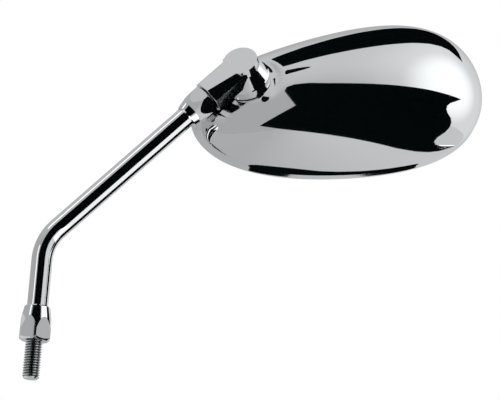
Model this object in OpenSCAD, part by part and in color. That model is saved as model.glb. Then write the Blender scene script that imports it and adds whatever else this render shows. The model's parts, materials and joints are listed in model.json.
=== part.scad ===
// Motorcycle mirror: bent stem with a threaded stud, two tapered lock nuts, a die-cast knuckle and a
// teardrop head with a mirror glass. Millimetres. The origin is where the lower nut seats, on the
// stud's axis. +Z runs up the stud, the stem bends in the XZ plane and the head's back faces -Y.

/* [Stem] */
// Diameter of the stem's rod
rod_d = 12; // [11.5:0.1:13]
// Diameter of the threads at both ends
thread_d = 10; // [9:0.5:10.5]
// Length of the stud below the nut's seat
stud_length = 22; // [16:1:35]
// Height of the bend's corner above the seat
bend_height = 58; // [50:1:80]
// Angle of the bend
bend_angle = 42.5; // [30:0.5:50]
// Radius of the bend along the rod's centre line
bend_radius = 28; // [22:1:34]
// Distance from the bend's corner to the barrel's axis
arm_length = 153; // [120:1:180]
// Chamfer at the threads' ends
thread_chamfer = 1.1; // [0.6:0.1:1.4]

/* [Lock nuts] */
// Width across the flats of both nuts
nut_flats = 17; // [16:0.5:19]
// Overall length of the lower nut
lower_nut_length = 20; // [17:0.5:24]
// Overall length of the upper nut
upper_nut_length = 17; // [15.5:0.5:20]
// Length of the lower nut's hexagon, up to where its corners meet the taper
lower_hex_length = 6; // [5:0.5:8]
// Length of the upper nut's hexagon, up to where its corners meet the taper
upper_hex_length = 4.5; // [4:0.5:6.5]
// Diameter of the lower nut's small end
lower_nut_end_d = 14.8; // [14.4:0.2:15.6]
// Diameter of the upper nut's small end
upper_nut_end_d = 14; // [13.8:0.2:15]
// Depth of the threaded part inside a nut, from its hexagon end
nut_thread_depth = 8; // [6:0.5:10]

/* [Knuckle] */
// Length of the shank from the barrel's axis to its end
shank_length = 26.4; // [24:0.2:32]
// Width of the shank across its flats
shank_width = 19; // [18:0.2:20]
// Width of the flat strip on top of the shank
strip_width = 7.8; // [7:0.2:9]
// Angle by which the shank drops from square to the barrel
shank_drop = 7.1; // [4:0.1:9]
// Turn of the knuckle about the stem
knuckle_roll = 36; // [20:1:50]
// Radius of the flat top disc
top_r = 10; // [9.5:0.1:10.5]
// Height of the flat top above the shank's axis
top_height = 6.2; // [6:0.1:7]
// Height of the barrel from its top to its base
barrel_height = 18.1; // [17.5:0.1:20]
// Height of the straight wall under the top
wall_height = 5.4; // [4:0.1:6]
// Height of the straight band at the base
band_height = 4.6; // [3.5:0.1:6]
// Radius of the barrel's base
base_r = 14; // [13.6:0.1:15]
// Radius of the fillets between the strip and the disc
neck_fillet = 8; // [6:0.5:10]
// Depth of the threaded hole in the shank's end
socket_depth = 15; // [13:0.5:16]

/* [Pivot] */
// Radius of the spherical seat pressed in the housing
seat_r = 50; // [46:1:56]
// Diameter of the pivot bolt
bolt_d = 6; // [5:0.5:6]
// Radius of the hole in the housing
hole_r = 8.3; // [8:0.1:8.8]
// Thickness of the friction ring outside
ring_thickness = 1; // [0.8:0.1:1.4]
// Thickness of the nylon liner inside
liner_thickness = 1; // [0.8:0.1:1.2]
// Outer radius of the liner
liner_outer_r = 13; // [12.5:0.1:13.5]
// Thickness of the pressure cup
cup_thickness = 1.8; // [1.5:0.1:2]
// Outer radius of the pressure cup
cup_outer_r = 12; // [11.6:0.1:12.6]
// Outer diameter of the disc springs
spring_d = 12; // [11.5:0.1:12.5]
// Thickness of a disc spring's sheet
spring_sheet = 0.6; // [0.5:0.05:0.7]
// Rise of a disc spring's cone
spring_rise = 0.45; // [0.3:0.05:0.5]
// Thickness of the washer under the pivot nut
washer_thickness = 1.2; // [1:0.1:1.4]
// Width across the flats of the pivot nut
pivot_nut_flats = 10; // [9:0.5:10]
// Height of the pivot nut
pivot_nut_height = 4.8; // [4.4:0.1:5.2]

/* [Head] */
// Length of the housing along its long axis
head_length = 176; // [160:1:190]
// Width of the housing where an even oval would be widest
head_width = 88; // [82:1:94]
// How much wider the housing grows to its outer end
egg = 0.17; // [0.1:0.01:0.22]
// Fullness that both ends gain
fullness = 0.21; // [0.1:0.01:0.26]
// Rise of both ends of the long axis
camber = 2.6; // [0:0.1:5]
// Depth of the housing from its rim to the middle of its dome
head_depth = 42; // [41:0.5:46]
// Height of the straight wall at the housing's rim
rim_height = 6; // [5.9:0.1:7]
// Fullness of the dome's sides, where a smaller value is steeper
dome_power = 0.62; // [0.55:0.01:0.66]
// How much deeper the dome grows to its outer end
dome_lean = 0.25; // [0.1:0.01:0.3]
// Thickness of the housing's wall
wall = 2.2; // [2:0.1:2.5]
// Place of the seat along the long axis
seat_x = -56.5; // [-59:0.5:-52]
// Place of the seat across the long axis
seat_y = 16.5; // [14.5:0.5:18]
// Turn of the head about the barrel's axis
head_turn = -66; // [-75:1:-57]

/* [Glass] */
// Thickness of the mirror glass at its two far ends
glass_edge = 0.5; // [0.4:0.1:0.8]
// Radius of the glass's convex face
glass_radius = 1200; // [1000:50:1500]
// Thickness of the adhesive foam
foam_thickness = 0.8; // [0.6:0.1:1]
// Thickness of the backplate
plate_thickness = 2; // [1.6:0.1:2.4]
// Width of the rubber seal round the glass
seal_width = 1.3; // [1:0.1:1.6]
// Radius of the screw bosses in the housing
boss_r = 3.6; // [3.3:0.1:4]
// Diameter of the backplate screws
screw_d = 2.9; // [2.5:0.1:3]

/* [Clearances] */
// Gap between a thread and its nut or socket
thread_gap = 0.05; // [0.02:0.01:0.09]
// Gap between pieces that slide or nearly touch
slide_gap = 0.15; // [0.1:0.01:0.2]
// Gap between the barrel's lip and the housing
lip_gap = 0.9; // [0.8:0.05:1.2]
// Gap round the glass, the plate and the seal
edge_gap = 0.2; // [0.1:0.05:0.3]

/* [Hidden] */
$fn = 64;

chrome = [0.86, 0.87, 0.88];
steel = [0.62, 0.63, 0.65];
nylon = [0.92, 0.91, 0.86];
dark_plastic = [0.10, 0.10, 0.11];
mirror_tint = [0.72, 0.77, 0.80];

// Stem
rod_r = rod_d / 2;
thread_r = thread_d / 2;
bore_r = thread_r + thread_gap;
bend_setback = bend_radius * tan(bend_angle / 2);
relief_depth = 0.3;
relief_length = 1.2;
nut_lift = 0.1;
bend_overlap = 0.3;
bend_swell = 0.02;
shoulder_z = nut_thread_depth + 1;
nut_gap = 0.3;
upper_nut_end = arm_length - shank_length - nut_gap;
upper_shoulder = upper_nut_end - nut_thread_depth - 1;
stem_end = arm_length - shank_length + socket_depth - 1;
upper_rod_length = upper_shoulder - bend_setback + bend_overlap;
upper_length = stem_end - bend_setback + bend_overlap;

// Knuckle
base_z = top_height - barrel_height;
lip_sphere = seat_r + lip_gap;
pivot_z = base_z - sqrt(pow(lip_sphere, 2) - pow(base_r, 2));
strip_chamfer = (shank_width - strip_width) / 2;
lip_width = 0.9;
ring_outer_r = base_r - lip_width - slide_gap;
ring_inner_r = hole_r + 0.5;
ring_inside = seat_r + slide_gap;
ring_outside = ring_inside + ring_thickness;
recess_sphere = ring_outside + slide_gap;
cavity_r = bolt_d / 2 + 3;
bolt_top = 3.4;

// Stack inside the housing, as heights above the centre of the seat's sphere
housing_inside = seat_r - wall;
liner_outside = housing_inside - slide_gap;
liner_inside = liner_outside - liner_thickness;
cup_outside = liner_inside - slide_gap;
cup_inside = cup_outside - cup_thickness;
spring_r = spring_d / 2;
spring_top = sqrt(pow(cup_inside, 2) - pow(spring_r, 2)) - 0.05;
spring_height = spring_sheet + spring_rise;
spring_middle = spring_top - spring_height - 0.05;
washer_top = spring_middle - spring_height - 0.05;
nut_top = washer_top - washer_thickness - 0.05;
insert_height = 1.3;
bolt_bottom = nut_top - pivot_nut_height - 0.7;

// Dome: u and v run over the unit disc
function half_width(u) = head_width / 2 * (1 + egg * u + fullness * u * u);
function dome(u, v, inset) = [
    (head_length / 2 - inset) * u,
    (half_width(u) - inset) * v + camber * u * u,
    rim_height + (head_depth - rim_height - inset) * (1 + dome_lean * u)
        * pow(max(0, 1 - u * u - v * v), dome_power)
];
seat_u = 2 * seat_x / head_length;
seat_v = (seat_y - camber * seat_u * seat_u) / half_width(seat_u);
seat_point = dome(seat_u, seat_v, 0);
step = 0.001;
slope_u = dome(seat_u + step, seat_v, 0) - dome(seat_u - step, seat_v, 0);
slope_v = dome(seat_u, seat_v + step, 0) - dome(seat_u, seat_v - step, 0);
seat_cross = cross(slope_u, slope_v);
seat_normal = seat_cross / norm(seat_cross);
seat_tilt = acos(seat_normal[2]);
seat_bearing = atan2(seat_normal[1], seat_normal[0]);
seat_centre = seat_point - seat_r * seat_normal;

// The dome eases into the spherical seat between these distances from the barrel's axis, and keeps
// its own form at the rim
seat_flat_r = 15.4;
seat_blend_r = 21.5;
rim_share = 0.22;
function ease(t) = let (c = min(1, max(0, t))) c * c * c * (10 - 15 * c + 6 * c * c);
function seated(p, inset, inland) = let (
    v = p - seat_centre,
    height = v * seat_normal,
    away = norm(v - height * seat_normal),
    share = 1 - ease((away - seat_flat_r) / (seat_blend_r - seat_flat_r)),
    sphere_height = sqrt(max(1, pow(seat_r - inset, 2) - away * away))
) p + seat_normal * share * ease(inland / rim_share) * (sphere_height - height);
function shell_point(u, v, inset) = seated(dome(u, v, inset), inset, 1 - u * u - v * v);

// Rings of the shell: close together over the seat, then spread out to the rim
seat_ring_count = 9;
ring_count = 18;
side_count = 64;
seat_zone = 26;
function rim_reach(a) =
    norm([(cos(a) - seat_u) * head_length / 2, (sin(a) - seat_v) * half_width(seat_u)]);
function seat_share(a) = min(0.6, seat_zone / rim_reach(a));
function ring_share(i, a) = i <= seat_ring_count ? seat_share(a) * i / seat_ring_count
    : 1 - (1 - seat_share(a)) * pow(1 - (i - seat_ring_count) / (ring_count - seat_ring_count), 1.6);
function ring_uv(i, j) = let (
    a = 360 * j / side_count,
    s = ring_share(i, a)
) [seat_u + s * (cos(a) - seat_u), seat_v + s * (sin(a) - seat_v)];
function ring_points(inset) = concat(
    [for (i = [1 : ring_count]) for (j = [0 : side_count - 1])
        let (q = ring_uv(i, j)) shell_point(q[0], q[1], inset)],
    [for (p = rim_outline(inset, side_count)) [p[0], p[1], 0]]
);

// The rim's outline, moved inward by a distance
function rim_outline(inset, count = 96) = [
    for (j = [0 : count - 1]) let (a = 360 * j / count)
        [(head_length / 2 - inset) * cos(a),
         (half_width(cos(a)) - inset) * sin(a) + camber * cos(a) * cos(a)]
];

// Levels behind the rim
glass_inset = wall + seal_width + edge_gap;
glass_z = 0.2;
function rise(x) = glass_radius - sqrt(glass_radius * glass_radius - x * x);
foam_z = glass_z + rise(head_length / 2 - glass_inset) + glass_edge;
plate_z = foam_z + foam_thickness;
plate_top = plate_z + plate_thickness;
plate_inset = wall + edge_gap;
screw_places = [[46, 20], [46, -18], [-8, -22]];
window_r = 15;
window_place = [seat_x + 9, seat_y - 9];
boss_taper = 2.2;
screw_head_r = screw_d;
screw_head_h = 1.4;
screw_length = 7;

module upper_frame(distance = 0)
    translate([0, 0, bend_height]) rotate([0, bend_angle, 0]) translate([0, 0, distance]) children();

// Origin where the shank's axis meets the barrel's axis, +Z out of the flat top, +X to the stem
module knuckle_frame()
    upper_frame(arm_length)
        rotate([0, 0, -knuckle_roll]) rotate([90 - shank_drop, 0, 0]) rotate([0, 0, -90]) children();

// Origin at the centre of the seat's sphere, +Z along the barrel's axis
module pivot_frame() knuckle_frame() translate([0, 0, pivot_z]) children();

// Origin in the middle of the rim's plane, +X along the head, +Z out of the dome
module head_frame()
    pivot_frame() translate([0, 0, seat_r]) rotate([0, 0, head_turn]) rotate([0, -seat_tilt, 0])
        rotate([0, 0, -seat_bearing]) translate(-seat_point) children();

// A ring between two spheres about the pivot's centre and two radii about the axis
module spherical_ring(inside, outside, inner_r, outer_r)
    difference() {
        rotate_extrude($fn = 96) difference() {
            circle(r = outside, $fn = 360);
            circle(r = inside, $fn = 360);
            translate([-2 * outside, -2 * outside]) square([2 * outside + inner_r, 4 * outside]);
            translate([outer_r, -2 * outside]) square([2 * outside, 4 * outside]);
            translate([0, -2 * outside]) square([2 * outside, 2 * outside]);
        }
    }

module stem() color(chrome) {
    rotate_extrude() polygon([
        [0, -stud_length], [thread_r - thread_chamfer, -stud_length], [thread_r, thread_chamfer - stud_length],
        [thread_r, 0], [thread_r - relief_depth, 0],
        [thread_r - relief_depth, relief_length], [thread_r, relief_length],
        [thread_r, shoulder_z], [rod_r, shoulder_z],
        [rod_r, bend_height - bend_setback + bend_overlap], [0, bend_height - bend_setback + bend_overlap]
    ]);
    translate([bend_radius, 0, bend_height - bend_setback]) rotate([90, 0, 0])
        rotate([0, 0, 180 - bend_angle])
        rotate_extrude(angle = bend_angle) translate([bend_radius, 0]) circle(r = rod_r + bend_swell);
    upper_frame(bend_setback - bend_overlap) rotate_extrude() polygon([
        [0, 0], [rod_r, 0], [rod_r, upper_rod_length], [thread_r, upper_rod_length],
        [thread_r, upper_length - thread_chamfer], [thread_r - thread_chamfer, upper_length], [0, upper_length]
    ]);
}

// A cover nut: hexagon at z = 0, tapered round collar above it
module cover_nut(length, hex_length, end_d) {
    corner_r = nut_flats / 2 / cos(30);
    foot_r = nut_flats / 2 - 0.9;
    difference() {
        intersection() {
            rotate([0, 0, 30]) cylinder(h = length, r = corner_r, $fn = 6);
            rotate_extrude() polygon([
                [0, 0], [foot_r, 0], [corner_r, 1.5], [corner_r, hex_length],
                [end_d / 2, length - 0.7], [end_d / 2 - 0.7, length], [0, length]
            ]);
        }
        translate([0, 0, -1]) cylinder(h = nut_thread_depth + 2, r = bore_r);
        translate([0, 0, nut_thread_depth]) cylinder(h = length, r = rod_r + slide_gap);
    }
}

module lower_lock_nut() color(chrome) translate([0, 0, nut_lift]) cover_nut(lower_nut_length, lower_hex_length, lower_nut_end_d);

module upper_lock_nut() color(chrome)
    upper_frame(upper_nut_end) mirror([0, 0, 1])
        cover_nut(upper_nut_length, upper_hex_length, upper_nut_end_d);

// The top's outline: a disc, a strip and the fillets between them
module keyhole() {
    half = strip_width / 2;
    reach = sqrt(pow(top_r + neck_fillet, 2) - pow(half + neck_fillet, 2));
    circle(r = top_r);
    translate([0, -half]) square([reach + 3, strip_width]);
    difference() {
        translate([0, -half - neck_fillet * 0.6]) square([reach, strip_width + neck_fillet * 1.2]);
        for (side = [-1, 1]) translate([reach, side * (half + neck_fillet)]) circle(r = neck_fillet);
    }
}

module shank_section()
    intersection() {
        square([shank_width, shank_width], center = true);
        rotate([0, 0, 45]) square([1, 1] * (shank_width * sqrt(2) - strip_chamfer * sqrt(2)), center = true);
    }

// Lies along the stem's axis, seen from the knuckle's frame
module along_shank(distance)
    rotate([0, 90 + shank_drop, 0]) translate([0, 0, distance]) children();

// Half side of the block that cuts the knuckle level with its top
level_cut = shank_length + shank_width;

module knuckle() color(chrome) knuckle_frame() difference() {
    union() {
        rotate_extrude() polygon([
            [0, base_z], [base_r, base_z], [base_r, base_z + band_height],
            [base_r - 0.5, base_z + band_height + 0.6], [top_r, top_height - wall_height],
            [top_r, top_height - 0.4], [top_r - 0.4, top_height], [0, top_height]
        ]);
        translate([0, 0, top_height - wall_height]) linear_extrude(wall_height) keyhole();
        intersection() {
            along_shank(0) linear_extrude(shank_length) shank_section();
            along_shank(0) rotate_extrude() polygon([
                [0, 0], [shank_width, 0], [shank_width, shank_length - 3],
                [shank_width / 2 - 0.3, shank_length], [0, shank_length]
            ]);
        }
    }
    translate([-level_cut, -level_cut, top_height]) cube([2 * level_cut, 2 * level_cut, shank_width]);
    along_shank(shank_length - socket_depth) cylinder(h = socket_depth + 1, r = bore_r);
    translate([0, 0, base_z - 1]) cylinder(h = bolt_top - base_z + 1, r = bolt_d / 2 + thread_gap);
    translate([0, 0, base_z - 1]) cylinder(h = 4, r = cavity_r);
    translate([0, 0, pivot_z]) sphere(r = lip_sphere, $fn = 128);
    intersection() {
        translate([0, 0, pivot_z]) sphere(r = recess_sphere, $fn = 128);
        translate([0, 0, base_z - 1]) cylinder(h = 12, r = base_r - lip_width);
    }
}

module pivot_bolt() color(steel) pivot_frame() {
    translate([0, 0, bolt_bottom]) cylinder(h = bolt_top - pivot_z - bolt_bottom - 0.5, r = bolt_d / 2);
    translate([0, 0, bolt_bottom - 0.5]) cylinder(h = 0.5, r1 = bolt_d / 2 - 0.5, r2 = bolt_d / 2);
}

module seat_ring() color(dark_plastic) pivot_frame()
    spherical_ring(ring_inside, ring_outside, ring_inner_r, ring_outer_r);

module shell() {
    last = (ring_count + 1) * side_count;
    outer_points = ring_points(0);
    inner_points = ring_points(wall);
    outer_tip = shell_point(seat_u, seat_v, 0);
    inner_tip = shell_point(seat_u, seat_v, wall);
    start_inner = last + 1;
    polyhedron(
        points = concat([outer_tip], outer_points, [inner_tip], inner_points),
        faces = concat(
            [for (j = [0 : side_count - 1]) [0, 1 + (j + 1) % side_count, 1 + j]],
            [for (i = [0 : ring_count - 1]) for (j = [0 : side_count - 1])
                let (k = (j + 1) % side_count, a = 1 + i * side_count)
                [a + j, a + k, a + side_count + k, a + side_count + j]],
            [for (j = [0 : side_count - 1]) [start_inner, start_inner + 1 + j,
                start_inner + 1 + (j + 1) % side_count]],
            [for (i = [0 : ring_count - 1]) for (j = [0 : side_count - 1])
                let (k = (j + 1) % side_count, a = start_inner + 1 + i * side_count)
                [a + k, a + j, a + side_count + j, a + side_count + k]],
            [for (j = [0 : side_count - 1])
                let (k = (j + 1) % side_count, a = 1 + ring_count * side_count)
                [a + j, a + k, a + start_inner + k, a + start_inner + j]]
        )
    );
}

// Middle of the housing's wall above a place in the rim's plane
function wall_middle(place) = let (
    u = 2 * place[0] / head_length,
    v = (place[1] - camber * u * u) / half_width(u)
) shell_point(u, v, wall / 2)[2];

// A boss with a tapered top, so that it ends inside the sloping wall
module screw_boss(place)
    translate([place[0], place[1], plate_top + edge_gap / 2]) rotate_extrude() polygon([
        [0, 0], [boss_r, 0], [boss_r, wall_middle(place) - plate_top - boss_taper],
        [1.4, wall_middle(place) - plate_top - edge_gap / 2],
        [0, wall_middle(place) - plate_top - edge_gap / 2]
    ]);

module housing() color(chrome) head_frame() difference() {
    union() {
        shell();
        for (place = screw_places) screw_boss(place);
    }
    for (place = screw_places) translate([place[0], place[1], 0])
        cylinder(h = plate_z + screw_length + 1, r = screw_d / 2);
    translate(seat_centre) rotate([0, 0, seat_bearing]) rotate([0, seat_tilt, 0])
        cylinder(h = seat_r + 10, r = hole_r);
}

module inner_liner() color(nylon) pivot_frame()
    spherical_ring(liner_inside, liner_outside, hole_r, liner_outer_r);

module pressure_cup() color(steel) pivot_frame()
    spherical_ring(cup_inside, cup_outside, bolt_d / 2 + slide_gap, cup_outer_r);

module disc_spring(wide_end_up) {
    r = bolt_d / 2 + slide_gap;
    low = wide_end_up ? 0 : spring_rise;
    high = wide_end_up ? spring_rise : 0;
    rotate_extrude() polygon([
        [r, low], [spring_r, high], [spring_r, high + spring_sheet], [r, low + spring_sheet]
    ]);
}

module disc_spring_1() color(steel) pivot_frame()
    translate([0, 0, spring_top - spring_height]) disc_spring(true);

module disc_spring_2() color(steel) pivot_frame()
    translate([0, 0, spring_middle - spring_height]) disc_spring(false);

module thrust_washer() color(steel) pivot_frame()
    translate([0, 0, washer_top - washer_thickness]) difference() {
        cylinder(h = washer_thickness, r = spring_r);
        translate([0, 0, -1]) cylinder(h = washer_thickness + 2, r = bolt_d / 2 + slide_gap);
    }

module pivot_nut() color(steel) pivot_frame()
    translate([0, 0, nut_top - pivot_nut_height]) difference() {
        intersection() {
            cylinder(h = pivot_nut_height, r = pivot_nut_flats / 2 / cos(30), $fn = 6);
            rotate_extrude() polygon([
                [0, 0], [pivot_nut_flats / 2 - 0.4, 0], [pivot_nut_flats / 2, insert_height],
                [pivot_nut_flats / 2 / cos(30), insert_height + 0.4],
                [pivot_nut_flats / 2 / cos(30), pivot_nut_height], [0, pivot_nut_height]
            ]);
        }
        translate([0, 0, -1]) cylinder(h = pivot_nut_height + 2, r = bolt_d / 2 + thread_gap);
        translate([0, 0, 0.3]) cylinder(h = insert_height, r = bolt_d / 2 + 1);
    }

module nut_insert() color(nylon) pivot_frame()
    translate([0, 0, nut_top - pivot_nut_height + 0.3]) difference() {
        cylinder(h = insert_height, r = bolt_d / 2 + 1);
        translate([0, 0, -1]) cylinder(h = insert_height + 2, r = bolt_d / 2 + thread_gap);
    }

module backplate() color(dark_plastic) head_frame()
    translate([0, 0, plate_z]) difference() {
        linear_extrude(plate_thickness) polygon(rim_outline(plate_inset));
        translate([window_place[0], window_place[1], -1]) cylinder(h = plate_thickness + 2, r = window_r);
        for (place = screw_places) translate([place[0], place[1], -1]) {
            cylinder(h = plate_thickness + 2, r = screw_d / 2 + slide_gap);
            cylinder(h = 1 + screw_head_h, r = screw_head_r + slide_gap);
        }
    }

module backplate_screw(i) color(steel) head_frame()
    translate([screw_places[i][0], screw_places[i][1], plate_z + 0.05]) {
        cylinder(h = screw_head_h - 0.05, r = screw_head_r);
        cylinder(h = screw_length, r = screw_d / 2 - thread_gap);
    }

module backplate_screw_1() backplate_screw(0);
module backplate_screw_2() backplate_screw(1);
module backplate_screw_3() backplate_screw(2);

module foam_pad() color(nylon) head_frame()
    translate([0, 0, foam_z]) difference() {
        linear_extrude(foam_thickness) polygon(rim_outline(glass_inset + 3));
        translate([0, 0, -1]) linear_extrude(foam_thickness + 2) polygon(rim_outline(glass_inset + 9));
    }

// A convex face on a flat back: its middle stands just inside the rim's plane
lens_step = 10;
lens_r = head_length / 2 + 12;
module lens() rotate_extrude($fn = 128) polygon(concat(
    [for (x = [0 : lens_step : lens_r]) [x, glass_z + rise(x)]],
    [[lens_r, glass_z + rise(lens_r)], [lens_r, foam_z + lens_r], [0, foam_z + lens_r]]
));

module glass() color(mirror_tint) head_frame()
    intersection() {
        linear_extrude(foam_z) polygon(rim_outline(glass_inset));
        lens();
    }

module rim_seal() color(dark_plastic) head_frame()
    translate([0, 0, 0.4]) difference() {
        linear_extrude(plate_z - 0.4 - edge_gap / 2) polygon(rim_outline(wall + edge_gap));
        translate([0, 0, -1]) linear_extrude(plate_z + 2) polygon(rim_outline(wall + seal_width));
    }

stem();
lower_lock_nut();
upper_lock_nut();
knuckle();
pivot_bolt();
seat_ring();
housing();
inner_liner();
pressure_cup();
disc_spring_1();
disc_spring_2();
thrust_washer();
pivot_nut();
nut_insert();
backplate();
backplate_screw_1();
backplate_screw_2();
backplate_screw_3();
foam_pad();
glass();
rim_seal();
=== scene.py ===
import json
import math

import bmesh
import bpy
from mathutils import Matrix, Vector
from mathutils.geometry import tessellate_polygon


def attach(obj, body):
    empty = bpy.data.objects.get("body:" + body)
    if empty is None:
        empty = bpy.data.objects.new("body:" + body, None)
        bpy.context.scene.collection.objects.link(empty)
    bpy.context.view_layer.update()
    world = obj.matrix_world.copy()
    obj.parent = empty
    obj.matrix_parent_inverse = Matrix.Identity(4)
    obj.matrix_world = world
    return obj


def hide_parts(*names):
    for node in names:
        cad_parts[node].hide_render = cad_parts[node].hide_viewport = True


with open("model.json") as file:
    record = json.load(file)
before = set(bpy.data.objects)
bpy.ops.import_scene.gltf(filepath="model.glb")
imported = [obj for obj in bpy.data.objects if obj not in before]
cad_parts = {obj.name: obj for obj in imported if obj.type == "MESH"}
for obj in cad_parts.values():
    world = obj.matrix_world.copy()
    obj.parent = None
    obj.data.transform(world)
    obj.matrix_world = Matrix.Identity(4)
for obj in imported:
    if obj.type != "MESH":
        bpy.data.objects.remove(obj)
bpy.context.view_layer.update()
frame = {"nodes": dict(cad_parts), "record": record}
nodes = frame["nodes"]
MM = 0.001

# Stem, in millimetres
ROD_R = 6.0
THREAD_R = 5.0
THREAD_PITCH = 1.5
THREAD_DEPTH = 0.92
THREAD_CHAMFER = 1.1
STUD_LENGTH = 22.0
THREAD_TOP = 2.0
GROOVE_R = 4.6
SHOULDER_Z = 9.0
BEND_HEIGHT = 58.0
BEND_ANGLE = math.radians(42.5)
BEND_RADIUS = 28.0
ARM_LENGTH = 153.0
SHANK_LENGTH = 26.4
SOCKET_DEPTH = 15.0
SOCKET_ROOM = 1.0
SHOULDER_SETBACK = 9.3
UPPER_SHOULDER = ARM_LENGTH - SHANK_LENGTH - SHOULDER_SETBACK
STEM_END = ARM_LENGTH - SHANK_LENGTH + SOCKET_DEPTH - SOCKET_ROOM
STEM_SIDES = 96
BEND_RINGS = 40
ROWS_PER_PITCH = 20

# Knuckle and seat, in millimetres and degrees
KNUCKLE_ROLL = 36.0
SHANK_DROP = 7.1
TOP_HEIGHT = 6.2
BARREL_HEIGHT = 18.1
BASE_Z = TOP_HEIGHT - BARREL_HEIGHT
BASE_R = 14.0
SEAT_R = 50.0
LIP_GAP = 0.9
PIVOT_Z = BASE_Z - math.sqrt((SEAT_R + LIP_GAP) ** 2 - BASE_R ** 2)

# Head, in millimetres and degrees
HEAD_LENGTH = 176.0
HEAD_WIDTH = 88.0
EGG = 0.17
FULLNESS = 0.21
CAMBER = 2.6
HEAD_DEPTH = 42.0
RIM_HEIGHT = 6.0
DOME_POWER = 0.62
DOME_LEAN = 0.25
WALL = 2.2
RIM_ROUND = 0.7
SEAT_X = -56.5
SEAT_Y = 16.5
HEAD_TURN = -66.0
HOLE_R = 8.3
SEAT_FLAT_R = 15.4
SEAT_BLEND_R = 21.5
RIM_SHARE = 0.22
SHELL_RINGS = 96
SHELL_SIDES = 240
RING_CROWDING = 1.6

# Camera: places in the photograph's pixels, scale in pixels per millimetre
PHOTO_WIDTH = 500.0
PHOTO_HEIGHT = 400.0
PHOTO_SCALE = 1.76
ORIGIN_X = 35.0
ORIGIN_Y = 340.5
LENS = 1000.0
PLANE_DEPTH = -30.0
SENSOR = 36.0
CLIP_END = 50.0
VIEW_TURN = math.radians(4.76)
VIEW_LIFT = math.radians(-12.0)
VIEW_ROLL = math.radians(5.3)
VIEW_BACK = Vector((
    -math.sin(VIEW_TURN) * math.cos(VIEW_LIFT),
    -math.cos(VIEW_TURN) * math.cos(VIEW_LIFT),
    math.sin(VIEW_LIFT),
))
LEVEL_RIGHT = Vector((math.cos(VIEW_TURN), -math.sin(VIEW_TURN), 0))
VIEW_RIGHT = Matrix.Rotation(VIEW_ROLL, 3, VIEW_BACK) @ LEVEL_RIGHT
VIEW_UP = VIEW_BACK.cross(VIEW_RIGHT)


def smooth_object(name, points, faces, sharp_angle=35.0):
    """A mesh object from points in millimetres, smooth except at edges sharper than the angle."""
    mesh = bpy.data.meshes.new(name)
    mesh.from_pydata([Vector(p) * MM for p in points], [], faces)
    mesh.validate()
    mesh.shade_smooth()
    mesh.set_sharp_from_angle(angle=math.radians(sharp_angle))
    thing = bpy.data.objects.new(name, mesh)
    bpy.context.scene.collection.objects.link(thing)
    return thing


def grid_faces(rows, columns, flip=False):
    """Quads between rings of points, each ring closed on itself."""
    faces = []
    for i in range(rows - 1):
        for j in range(columns):
            a = i * columns + j
            b = i * columns + (j + 1) % columns
            quad = (a, b, b + columns, a + columns)
            faces.append(quad[::-1] if flip else quad)
    return faces


def steps(low, high, count):
    """Evenly spaced values from low to high, both ends included."""
    return [low + (high - low) * i / count for i in range(count + 1)]


# Stem with a cut thread on its stud
def thread_radius(z, angle):
    """Radius of a truncated sixty-degree right-hand thread."""
    phase = (z / THREAD_PITCH - angle / (2 * math.pi)) % 1.0
    from_root = abs(phase - 0.5) * THREAD_PITCH
    root_flat = THREAD_PITCH / 8
    crest_flat = THREAD_PITCH / 16
    rise = (from_root - root_flat) / (THREAD_PITCH / 2 - root_flat - crest_flat)
    return THREAD_R - THREAD_DEPTH * (1 - min(1.0, max(0.0, rise)))


def stem_ring(centre, across, depth, radius_at):
    """One ring of the stem: a radius for each angle round the centre line."""
    ring = []
    for j in range(STEM_SIDES):
        angle = 2 * math.pi * j / STEM_SIDES
        radius = radius_at(angle)
        ring.append(centre + across * (radius * math.cos(angle)) + depth * (radius * math.sin(angle)))
    return ring


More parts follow.
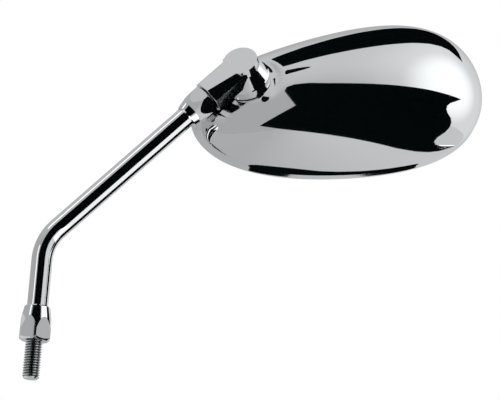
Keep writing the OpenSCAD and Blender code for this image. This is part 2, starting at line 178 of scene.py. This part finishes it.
def make_stem():
    depth = Vector((0, 1, 0))
    setback = BEND_RADIUS * math.tan(BEND_ANGLE / 2)
    bend_start = BEND_HEIGHT - setback
    upper_way = Vector((math.sin(BEND_ANGLE), 0, math.cos(BEND_ANGLE)))
    upper_across = Vector((math.cos(BEND_ANGLE), 0, -math.sin(BEND_ANGLE)))
    corner = Vector((0, 0, BEND_HEIGHT))
    rings = []

    def straight(z, radius_at):
        rings.append(stem_ring(Vector((0, 0, z)), Vector((1, 0, 0)), depth, radius_at))

    def upper(distance, radius):
        rings.append(stem_ring(corner + upper_way * distance, upper_across, depth, lambda angle: radius))

    row_count = round((STUD_LENGTH + THREAD_TOP) / THREAD_PITCH * ROWS_PER_PITCH)
    for z in steps(-STUD_LENGTH, THREAD_TOP, row_count):
        chamfer_r = THREAD_R - max(0.0, THREAD_CHAMFER - (z + STUD_LENGTH))
        straight(z, lambda angle: min(thread_radius(z, angle), chamfer_r))
    for z, radius in ((THREAD_TOP + 0.1, THREAD_R), (SHOULDER_Z, THREAD_R), (SHOULDER_Z, ROD_R)):
        straight(z, lambda angle: radius)
    for turn in steps(0.0, BEND_ANGLE, BEND_RINGS):
        sideways = BEND_RADIUS * (1 - math.cos(turn))
        centre = Vector((sideways, 0, bend_start + BEND_RADIUS * math.sin(turn)))
        across = Vector((math.cos(turn), 0, -math.sin(turn)))
        rings.append(stem_ring(centre, across, depth, lambda angle: ROD_R))
    for distance, radius in (
        (UPPER_SHOULDER, ROD_R), (UPPER_SHOULDER, THREAD_R),
        (STEM_END - THREAD_CHAMFER, THREAD_R), (STEM_END, THREAD_R - THREAD_CHAMFER),
    ):
        upper(distance, radius)
    points = [p for ring in rings for p in ring]
    faces = grid_faces(len(rings), STEM_SIDES)
    faces.append(tuple(range(STEM_SIDES))[::-1])
    last = (len(rings) - 1) * STEM_SIDES
    faces.append(tuple(range(last, last + STEM_SIDES)))
    thing = smooth_object("stem_threaded", points, faces, 40.0)
    thing.data.materials.append(finishes["chrome_rod"])
    thing.data.materials.append(finishes["painted_thread_shade"])
    # Faces of the thread's roots, inside GROOVE_R, take a darker, rougher metal: its dark colour is
    # painted shade in the grooves.
    for face in thing.data.polygons:
        z = face.center.z / MM
        off_axis = math.hypot(face.center.x, face.center.y) / MM
        if z < THREAD_TOP and z > -STUD_LENGTH + THREAD_CHAMFER and off_axis < GROOVE_R:
            face.material_index = 1
    return thing


# Head shell, from the same form as the solid
def half_width(u):
    return HEAD_WIDTH / 2 * (1 + EGG * u + FULLNESS * u * u)


def dome(u, v, inset):
    """A point of the dome; u and v run over the unit disc."""
    rise = (HEAD_DEPTH - RIM_HEIGHT - inset) * (1 + DOME_LEAN * u)
    return Vector((
        (HEAD_LENGTH / 2 - inset) * u,
        (half_width(u) - inset) * v + CAMBER * u * u,
        RIM_HEIGHT + rise * max(0.0, 1 - u * u - v * v) ** DOME_POWER,
    ))


SEAT_U = 2 * SEAT_X / HEAD_LENGTH
SEAT_V = (SEAT_Y - CAMBER * SEAT_U ** 2) / half_width(SEAT_U)
SEAT_POINT = dome(SEAT_U, SEAT_V, 0)
DIFFERENCE = 0.001
SEAT_NORMAL = (
    dome(SEAT_U + DIFFERENCE, SEAT_V, 0) - dome(SEAT_U - DIFFERENCE, SEAT_V, 0)
).cross(dome(SEAT_U, SEAT_V + DIFFERENCE, 0) - dome(SEAT_U, SEAT_V - DIFFERENCE, 0)).normalized()
SEAT_CENTRE = SEAT_POINT - SEAT_NORMAL * SEAT_R


def ease(t):
    c = min(1.0, max(0.0, t))
    return c ** 3 * (10 - 15 * c + 6 * c * c)


def axis_distance(p):
    v = p - SEAT_CENTRE
    return (v - SEAT_NORMAL * v.dot(SEAT_NORMAL)).length


def shell_point(u, v, inset):
    """A point of the dome, eased into the spherical seat near the pivot."""
    p = dome(u, v, inset)
    inland = 1 - u * u - v * v
    height = (p - SEAT_CENTRE).dot(SEAT_NORMAL)
    away = axis_distance(p)
    share = 1 - ease((away - SEAT_FLAT_R) / (SEAT_BLEND_R - SEAT_FLAT_R))
    sphere = math.sqrt(max(1.0, (SEAT_R - inset) ** 2 - away * away))
    return p + SEAT_NORMAL * (share * ease(inland / RIM_SHARE) * (sphere - height))


def shell_column(angle, inset, rings):
    """Points from the pivot hole's edge out to the rim, along one direction."""
    edge = (math.cos(angle), math.sin(angle))

    def at(share):
        u = SEAT_U + share * (edge[0] - SEAT_U)
        v = SEAT_V + share * (edge[1] - SEAT_V)
        return shell_point(u, v, inset)

    low, high = 0.0, 0.6
    for _ in range(30):
        middle = (low + high) / 2
        if axis_distance(at(middle)) < HOLE_R:
            low = middle
        else:
            high = middle
    start = (low + high) / 2
    return [at(1 - (1 - start) * (1 - i / rings) ** RING_CROWDING) for i in range(rings + 1)]


def rim_point(angle, inset, z):
    u = math.cos(angle)
    return Vector((
        (HEAD_LENGTH / 2 - inset) * u,
        (half_width(u) - inset) * math.sin(angle) + CAMBER * u * u,
        z,
    ))


def rim_profile():
    """Inset and height down the outer wall, round the edge and up inside."""
    profile = [(0.0, z) for z in steps(RIM_HEIGHT - 1, RIM_ROUND, 4)]
    for turn in steps(0, math.pi / 2, 5)[1:]:
        profile.append((RIM_ROUND * (1 - math.cos(turn)), RIM_ROUND * (1 - math.sin(turn))))
    profile.append((WALL, 0.0))
    profile += [(WALL, z) for z in steps(0.0, RIM_HEIGHT - 1, 3)[1:]]
    return profile


def head_matrix():
    """From the head's own frame to the model's frame."""
    up = Matrix.Translation((0, 0, BEND_HEIGHT)) @ Matrix.Rotation(BEND_ANGLE, 4, "Y")
    knuckle = (
        up @ Matrix.Translation((0, 0, ARM_LENGTH))
        @ Matrix.Rotation(math.radians(-KNUCKLE_ROLL), 4, "Z")
        @ Matrix.Rotation(math.radians(90 - SHANK_DROP), 4, "X")
        @ Matrix.Rotation(math.radians(-90), 4, "Z")
    )
    tilt = math.acos(SEAT_NORMAL.z)
    bearing = math.atan2(SEAT_NORMAL.y, SEAT_NORMAL.x)
    return (
        knuckle @ Matrix.Translation((0, 0, PIVOT_Z + SEAT_R))
        @ Matrix.Rotation(math.radians(HEAD_TURN), 4, "Z")
        @ Matrix.Rotation(-tilt, 4, "Y") @ Matrix.Rotation(-bearing, 4, "Z")
        @ Matrix.Translation(-SEAT_POINT)
    )


def make_housing():
    """The chromed shell: outer face, rounded rim, inner face and the pivot hole's edge."""
    columns = []
    for j in range(SHELL_SIDES):
        angle = 2 * math.pi * j / SHELL_SIDES
        outer = shell_column(angle, 0.0, SHELL_RINGS)
        rim = [rim_point(angle, inset, z) for inset, z in rim_profile()]
        inner = shell_column(angle, WALL, SHELL_RINGS // 3)[::-1]
        columns.append(outer + rim + inner)
    rows = len(columns[0])
    place = head_matrix()
    points = [place @ columns[j][i] for i in range(rows) for j in range(SHELL_SIDES)]
    faces = grid_faces(rows, SHELL_SIDES, flip=True)
    last = (rows - 1) * SHELL_SIDES
    for j in range(SHELL_SIDES):
        k = (j + 1) % SHELL_SIDES
        faces.append((last + j, last + k, k, j))
    return smooth_object("housing_shell", points, faces, 50.0)


# Materials
def shader(name, colour, metallic, roughness, grain=0.0, grain_scale=400.0, coat=0.0, bump=0.0):
    """A Principled material whose roughness varies a little with a fine noise."""
    material = bpy.data.materials.new(name)
    material.use_nodes = True
    tree = material.node_tree
    principled = tree.nodes["Principled BSDF"]
    principled.inputs["Base Color"].default_value = (*colour, 1)
    principled.inputs["Metallic"].default_value = metallic
    principled.inputs["Roughness"].default_value = roughness
    principled.inputs["Coat Weight"].default_value = coat
    if grain > 0 or bump > 0:
        place = tree.nodes.new("ShaderNodeTexCoord")
        noise = tree.nodes.new("ShaderNodeTexNoise")
        noise.inputs["Scale"].default_value = grain_scale
        noise.inputs["Detail"].default_value = 3.0
        tree.links.new(place.outputs["Object"], noise.inputs["Vector"])
        if grain > 0:
            span = tree.nodes.new("ShaderNodeMapRange")
            span.inputs["To Min"].default_value = max(0.0, roughness - grain)
            span.inputs["To Max"].default_value = roughness + grain
            tree.links.new(noise.outputs["Fac"], span.inputs["Value"])
            tree.links.new(span.outputs["Result"], principled.inputs["Roughness"])
        if bump > 0:
            relief = tree.nodes.new("ShaderNodeBump")
            relief.inputs["Strength"].default_value = bump
            relief.inputs["Distance"].default_value = 0.0001
            tree.links.new(noise.outputs["Fac"], relief.inputs["Height"])
            tree.links.new(relief.outputs["Normal"], principled.inputs["Normal"])
    return material


def flat_shader(name, colour, strength):
    """An even surface without gloss, which gives light where its strength isn't zero."""
    material = bpy.data.materials.new(name)
    material.use_nodes = True
    principled = material.node_tree.nodes["Principled BSDF"]
    principled.inputs["Base Color"].default_value = (*colour, 1)
    principled.inputs["Roughness"].default_value = 1.0
    principled.inputs["Specular IOR Level"].default_value = 0.0
    principled.inputs["Emission Color"].default_value = (*colour, 1)
    principled.inputs["Emission Strength"].default_value = strength
    return material


finishes = {
    "chrome_rod": shader("chrome_rod", (0.80, 0.81, 0.82), 1.0, 0.06, 0.02),
    "chrome_nut": shader("chrome_nut", (0.80, 0.81, 0.82), 1.0, 0.08, 0.02),
    "chrome_casting": shader("chrome_casting", (0.80, 0.81, 0.82), 1.0, 0.07, 0.02),
    "chrome_shell": shader("chrome_shell", (0.80, 0.81, 0.82), 1.0, 0.03, 0.01),
    # Darker metal for the thread's roots: painted shade in the grooves.
    "painted_thread_shade": shader("painted_thread_shade", (0.24, 0.25, 0.25), 1.0, 0.30, 0.05),
    "zinc_steel": shader("zinc_steel", (0.62, 0.63, 0.65), 1.0, 0.32, 0.06),
    "spring_steel": shader("spring_steel", (0.42, 0.43, 0.45), 1.0, 0.28, 0.05),
    "nylon": shader("nylon", (0.90, 0.89, 0.84), 0.0, 0.45, 0.05),
    "black_plastic": shader("black_plastic", (0.04, 0.04, 0.045), 0.0, 0.48, 0.06, 900.0, 0.0, 0.15),
    "foam": shader("foam", (0.85, 0.85, 0.82), 0.0, 0.9, 0.05, 1500.0, 0.0, 0.4),
    "black_rubber": shader("black_rubber", (0.03, 0.03, 0.03), 0.0, 0.62, 0.08, 700.0, 0.0, 0.1),
    "mirror_glass": shader("mirror_glass", (0.85, 0.88, 0.89), 1.0, 0.01, 0.005, 200.0, 1.0),
}


def paint(thing, slot):
    thing.data.materials.clear()
    thing.data.materials.append(finishes[slot])


for part in frame["record"]["subparts"]:
    paint(nodes[part["node"]], part["material_slot"])

stem = make_stem()
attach(stem, "arm")
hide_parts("stem")

housing = make_housing()
paint(housing, "chrome_shell")
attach(housing, "head")
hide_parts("housing")

# Soft edges on the casting and nuts: widths in millimetres, angle in degrees
EDGE_WIDTHS = {"knuckle": 0.35, "lower_lock_nut": 0.25, "upper_lock_nut": 0.25}
EDGE_ANGLE = 28
for name, width in EDGE_WIDTHS.items():
    bevel = nodes[name].modifiers.new("edge", "BEVEL")
    bevel.width = width * MM
    bevel.segments = 3
    bevel.limit_method = "ANGLE"
    bevel.angle_limit = math.radians(EDGE_ANGLE)
    bevel.harden_normals = True


# Camera
def photo_point(x, y):
    """The point of the picture plane through the origin that lands on a pixel of the photograph."""
    right = (x - ORIGIN_X) / PHOTO_SCALE
    up = (ORIGIN_Y - y) / PHOTO_SCALE
    return (VIEW_RIGHT * right + VIEW_UP * up) * MM


def aim(thing, place, back, up):
    """Puts a camera or lamp at a place, its back to one direction."""
    back = back.normalized()
    right = up.cross(back).normalized()
    turn = Matrix((right, back.cross(right), back)).transposed().to_4x4()
    thing.matrix_world = Matrix.Translation(place) @ turn


centre = photo_point(PHOTO_WIDTH / 2, PHOTO_HEIGHT / 2)
distance = LENS / SENSOR * PHOTO_WIDTH / PHOTO_SCALE * MM
camera_data = bpy.data.cameras.new("camera")
camera_data.lens = LENS
camera_data.sensor_width = SENSOR
camera_data.clip_end = CLIP_END
camera = bpy.data.objects.new("camera", camera_data)
bpy.context.scene.collection.objects.link(camera)
aim(camera, centre + VIEW_BACK * (distance + PLANE_DEPTH * MM), VIEW_BACK, VIEW_UP)
bpy.context.scene.camera = camera


# Studio: dark and light cards on a sphere round the head, which show in the chrome
CARD_REACH = 1.25
CARD_CUTS = 7


def studio_point(x, y):
    """A place on the sphere, given in degrees to the right of and above the camera's axis."""
    angle = math.radians(math.hypot(x, y))
    turn = math.atan2(y, x)
    way = (
        VIEW_RIGHT * (math.sin(angle) * math.cos(turn))
        + VIEW_UP * (math.sin(angle) * math.sin(turn))
        + VIEW_BACK * math.cos(angle)
    )
    return centre + way * CARD_REACH


def rounded(outline):
    """The outline with its corners cut twice; a corner that is given twice stays sharp."""
    for _ in range(2):
        cut = []
        for (x0, y0), (x1, y1) in zip(outline, outline[1:] + outline[:1]):
            if (x0, y0) == (x1, y1):
                cut += [(x0, y0), (x0, y0)]
            else:
                cut += [(0.75 * x0 + 0.25 * x1, 0.75 * y0 + 0.25 * y1)]
                cut += [(0.25 * x0 + 0.75 * x1, 0.25 * y0 + 0.75 * y1)]
        outline = cut
    return [p for p, q in zip(outline, outline[1:] + outline[:1]) if p != q]


def card(name, outline, colour, strength):
    """A curved card whose outline is given in degrees from the camera's axis."""
    sheet = bmesh.new()
    edge = [Vector((x, y, 0)) for x, y in rounded(outline)]
    corners = [sheet.verts.new(point) for point in edge]
    for triangle in tessellate_polygon([edge]):
        sheet.faces.new([corners[i] for i in triangle])
    bmesh.ops.subdivide_edges(sheet, edges=sheet.edges[:], cuts=CARD_CUTS, use_grid_fill=True)
    for vertex in sheet.verts:
        vertex.co = studio_point(vertex.co.x, vertex.co.y)
    mesh = bpy.data.meshes.new(name)
    sheet.to_mesh(mesh)
    sheet.free()
    board = bpy.data.objects.new(name, mesh)
    bpy.context.scene.collection.objects.link(board)
    mesh.materials.append(flat_shader(name, colour, strength))
    board.visible_camera = False


BLACK = (0.004, 0.007, 0.008)
card("dark_wall", [
    (-10, 70), (25, 45), (100, 15), (100, 15), (80, 5), (95, -25), (70, -55), (110, -75), (110, -75),
    (70, -75), (30, -25), (-5, 10), (-5, 10), (5, 30), (5, 30),
], BLACK, 0.0)
card("dark_canopy", [
    (-35, 115), (-20, 95), (0, 105), (75, 105), (105, 75), (105, 75), (100, 110), (65, 145), (-5, 145),
], BLACK, 0.0)
card("dark_tail", [(-20, 90), (-5, 90), (0, 85), (-20, 80)], BLACK, 0.0)
card("dark_foot", [
    (-25, -115), (-10, -80), (15, -80), (35, -105), (75, -105), (75, -125), (-20, -125),
], BLACK, 0.0)
card("light_step", [(75, -55), (115, -75), (90, -75)], (1.0, 1.0, 1.0), 1.15)


# Sleeves: cards bent round the stem, so that its chrome shows long even bands
SLEEVE_LOW_R = 24.0
SLEEVE_HIGH_R = 11.0
SLEEVE_FOOT = -60.0
SLEEVE_NUT = 20.0
SLEEVE_BEND = 63.0
SLEEVE_TOP = 170.0

# Watts per square metre of an area lamp at level one
LAMP_FACTOR = 4.0


def stem_path(travel):
    """Place, direction and share of the bend behind, at a distance along the stem's centre line."""
    start = BEND_HEIGHT - BEND_RADIUS * math.tan(BEND_ANGLE / 2)
    turn = min(BEND_ANGLE, max(0.0, (travel - start) / BEND_RADIUS))
    past = max(0.0, travel - start - BEND_RADIUS * BEND_ANGLE)
    way = Vector((math.sin(turn), 0, math.cos(turn)))
    sideways = BEND_RADIUS * (1 - math.cos(turn))
    bent = Vector((sideways, 0, min(travel, start) + BEND_RADIUS * math.sin(turn)))
    return bent + way * past, way, turn / BEND_ANGLE


def sleeve_turn(seen, reach):
    """Turn about the stem where a card at some reach is mirrored at a given angle from the camera."""
    half_turn = math.radians(seen / 2)
    return 2 * half_turn - math.asin(ROD_R / reach * math.sin(half_turn))


def sleeve(name, stretch, low_edges, high_edges):
    """A dark card along a stretch of the stem between two edges, given for below and above the bend."""
    rows = 56
    columns = 12
    points = []
    for travel in steps(*stretch, rows):
        place, way, share = stem_path(travel)
        front = (VIEW_BACK - way * VIEW_BACK.dot(way)).normalized()
        side = way.cross(front)
        reach = SLEEVE_LOW_R + share * (SLEEVE_HIGH_R - SLEEVE_LOW_R)
        edges = [sleeve_turn(a + share * (b - a), reach) for a, b in zip(low_edges, high_edges)]
        for turn in steps(edges[0], edges[1], columns):
            points.append((place + (front * math.cos(turn) + side * math.sin(turn)) * reach) * MM)
    stride = columns + 1
    faces = []
    for i in range(rows):
        for j in range(columns):
            a = i * stride + j
            faces.append((a, a + 1, a + 1 + stride, a + stride))
    mesh = bpy.data.meshes.new(name)
    mesh.from_pydata(points, [], faces)
    board = bpy.data.objects.new(name, mesh)
    bpy.context.scene.collection.objects.link(board)
    mesh.materials.append(flat_shader(name, BLACK, 0.0))
    board.visible_camera = False
    board.visible_diffuse = False


def strip_light(name, stretch, edges, level):
    """A flat light beside a stretch of the stem that fills the same angles as a sleeve would."""
    place, way, share = stem_path(sum(stretch) / 2)
    reach = SLEEVE_LOW_R + share * (SLEEVE_HIGH_R - SLEEVE_LOW_R)
    front = (VIEW_BACK - way * VIEW_BACK.dot(way)).normalized()
    side = way.cross(front)
    first, last = [sleeve_turn(edge, reach) for edge in edges]
    turn = (first + last) / 2
    outward = front * math.cos(turn) + side * math.sin(turn)
    lamp_data = bpy.data.lights.new(name, "AREA")
    lamp_data.shape = "RECTANGLE"
    lamp_data.size = 2 * reach * math.sin(abs(last - first) / 2) * MM
    lamp_data.size_y = (stretch[1] - stretch[0]) * MM
    lamp_data.energy = LAMP_FACTOR * level * lamp_data.size * lamp_data.size_y
    lamp = bpy.data.objects.new(name, lamp_data)
    bpy.context.scene.collection.objects.link(lamp)
    aim(lamp, (place + outward * (reach * math.cos((last - first) / 2))) * MM, outward, way)
    lamp.visible_camera = False
    lamp.visible_diffuse = False


sleeve("sleeve_front", (SLEEVE_FOOT, SLEEVE_TOP), (-40, 25), (-55, 20))
sleeve("sleeve_side", (SLEEVE_FOOT, SLEEVE_TOP), (90, 120), (90, 120))
strip_light("strip_foot_left", (SLEEVE_FOOT, SLEEVE_NUT), (-150, -90), 0.17)
strip_light("strip_foot_right", (SLEEVE_FOOT, SLEEVE_NUT), (34, 80), 0.4)
strip_light("strip_low_right", (SLEEVE_NUT, SLEEVE_BEND), (34, 80), 0.6)
strip_light("strip_high_right", (SLEEVE_BEND, SLEEVE_TOP), (34, 80), 0.85)
strip_light("strip_low_line", (SLEEVE_NUT, SLEEVE_BEND), (-60, -50), 0.75)
strip_light("strip_high_line", (SLEEVE_BEND, SLEEVE_TOP), (-90, -80), 0.9)

# Floor, in metres: far below; painted shade makes its colour dim to the left and paler to the right, and
# a painted glow lifts it for the camera
FLOOR_Z = -4.2
FLOOR_SIZE = 36.0
FLOOR_DIM_X = -0.9
FLOOR_PALE_X = 3.9
FLOOR_DIM = 0.72
FLOOR_PALE = 0.97
FLOOR_CAMERA_GLOW = 0.35
floor_mesh = bpy.data.meshes.new("floor")
half = FLOOR_SIZE / 2
floor_mesh.from_pydata(
    [(-half, -half, FLOOR_Z), (half, -half, FLOOR_Z), (half, half, FLOOR_Z), (-half, half, FLOOR_Z)],
    [], [(0, 1, 2, 3)],
)
floor = bpy.data.objects.new("floor", floor_mesh)
bpy.context.scene.collection.objects.link(floor)
pale_floor = flat_shader("pale_floor", (0.82, 0.82, 0.82), 0.0)
shade = pale_floor.node_tree
floor_place = shade.nodes.new("ShaderNodeTexCoord")
floor_axes = shade.nodes.new("ShaderNodeSeparateXYZ")
# Painted shade: the floor's colour runs from FLOOR_DIM towards -X up to FLOOR_PALE towards +X.
floor_painted_shade = shade.nodes.new("ShaderNodeMapRange")
floor_painted_shade.interpolation_type = "SMOOTHSTEP"
floor_painted_shade.inputs["From Min"].default_value = FLOOR_DIM_X
floor_painted_shade.inputs["From Max"].default_value = FLOOR_PALE_X
floor_painted_shade.inputs["To Min"].default_value = FLOOR_DIM
floor_painted_shade.inputs["To Max"].default_value = FLOOR_PALE
shade.links.new(floor_place.outputs["Object"], floor_axes.inputs["Vector"])
shade.links.new(floor_axes.outputs["X"], floor_painted_shade.inputs["Value"])
shade.links.new(floor_painted_shade.outputs["Result"], shade.nodes["Principled BSDF"].inputs["Base Color"])
# Painted glow: the floor gives off light for camera rays only, so it looks paler to the camera.
floor_path = shade.nodes.new("ShaderNodeLightPath")
floor_camera_glow = shade.nodes.new("ShaderNodeMath")
floor_camera_glow.operation = "MULTIPLY"
floor_camera_glow.inputs[1].default_value = FLOOR_CAMERA_GLOW
shade.links.new(floor_path.outputs["Is Camera Ray"], floor_camera_glow.inputs[0])
shade.links.new(floor_camera_glow.outputs["Value"], shade.nodes["Principled BSDF"].inputs["Emission Strength"])
floor.data.materials.append(pale_floor)

# The room: dim towards -X, brighter towards +X and overhead, brightest up to the right.
# Each glow has a direction, the cosines where it starts and is full, and its strength.
ROOM_LEVEL = 0.46
GLOWS = (
    ((1.0, 0.0, 0.0), -0.1, 0.9, 0.36),
    ((0.0, 0.0, 1.0), 0.45, 0.98, 0.2),
    ((0.9, -0.15, 0.42), 0.77, 0.98, 0.45),
)
world = bpy.data.worlds.new("studio")
bpy.context.scene.world = world
world.use_nodes = True
tree = world.node_tree
tree.nodes.clear()
output = tree.nodes.new("ShaderNodeOutputWorld")
mix = tree.nodes.new("ShaderNodeMixShader")
room = tree.nodes.new("ShaderNodeBackground")
room.inputs["Color"].default_value = (0.985, 0.995, 1.0, 1)
way = tree.nodes.new("ShaderNodeTexCoord")
level = None
for toward, start, full, strength in GLOWS:
    facing = tree.nodes.new("ShaderNodeVectorMath")
    facing.operation = "DOT_PRODUCT"
    facing.inputs[1].default_value = Vector(toward).normalized()
    tree.links.new(way.outputs["Generated"], facing.inputs[0])
    glow = tree.nodes.new("ShaderNodeMapRange")
    glow.interpolation_type = "SMOOTHSTEP"
    glow.inputs["From Min"].default_value = start
    glow.inputs["From Max"].default_value = full
    glow.inputs["To Min"].default_value = 0.0
    glow.inputs["To Max"].default_value = strength
    tree.links.new(facing.outputs["Value"], glow.inputs["Value"])
    total = tree.nodes.new("ShaderNodeMath")
    total.operation = "ADD"
    total.inputs[0].default_value = ROOM_LEVEL
    if level is not None:
        tree.links.new(level, total.inputs[0])
    tree.links.new(glow.outputs["Result"], total.inputs[1])
    level = total.outputs["Value"]
tree.links.new(level, room.inputs["Strength"])
backdrop = tree.nodes.new("ShaderNodeBackground")
backdrop.inputs["Color"].default_value = (1, 1, 1, 1)
backdrop.inputs["Strength"].default_value = 1.0
path = tree.nodes.new("ShaderNodeLightPath")
tree.links.new(path.outputs["Is Camera Ray"], mix.inputs["Fac"])
tree.links.new(room.outputs["Background"], mix.inputs[1])
tree.links.new(backdrop.outputs["Background"], mix.inputs[2])
tree.links.new(mix.outputs["Shader"], output.inputs["Surface"])

bpy.context.scene.view_settings.view_transform = "Standard"
